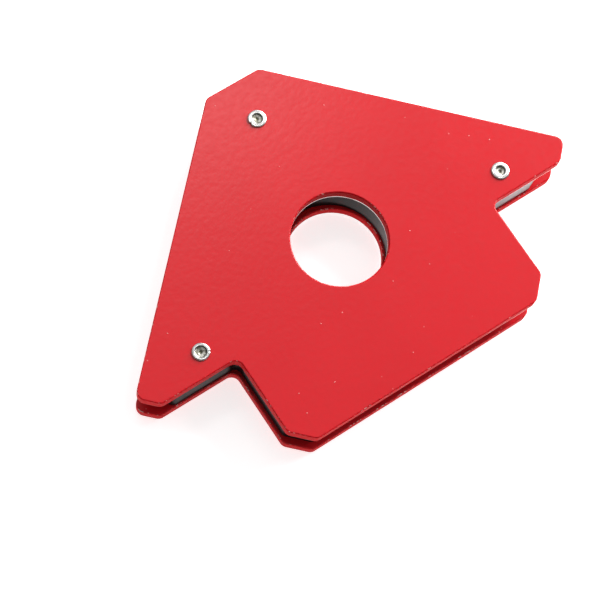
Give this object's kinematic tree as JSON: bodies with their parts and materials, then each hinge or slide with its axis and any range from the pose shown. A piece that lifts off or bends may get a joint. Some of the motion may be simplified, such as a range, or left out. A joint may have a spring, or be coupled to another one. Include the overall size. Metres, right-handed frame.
{
  "type": "welding magnet holder",
  "caption": "Arrow-shaped magnetic holder for welding: two riveted steel pole plates over a magnet core, with a round hole and 45, 90 and 135 degree edges.",
  "frame": {"origin": "centre of the round hole, in the outer face of the back plate", "axes": "+Z out of the front plate, through the thickness; +Y towards the apex of the arrow; +X towards the right barb"},
  "size_m": [0.1202, 0.0835, 0.015],
  "materials": {
    "powder_coat": "satin",
    "core_plastic": "satin",
    "ferrite": "matte",
    "rivet_metal": "satin"
  },
  "bodies": {
    "root": {"front_plate": "powder_coat", "back_plate": "powder_coat", "core_frame": "core_plastic", "magnet_apex": "ferrite", "magnet_left": "ferrite", "magnet_stem": "ferrite", "magnet_right": "ferrite", "rivet_apex": "rivet_metal", "rivet_left": "rivet_metal", "rivet_right": "rivet_metal"}
  },
  "joints": []
}
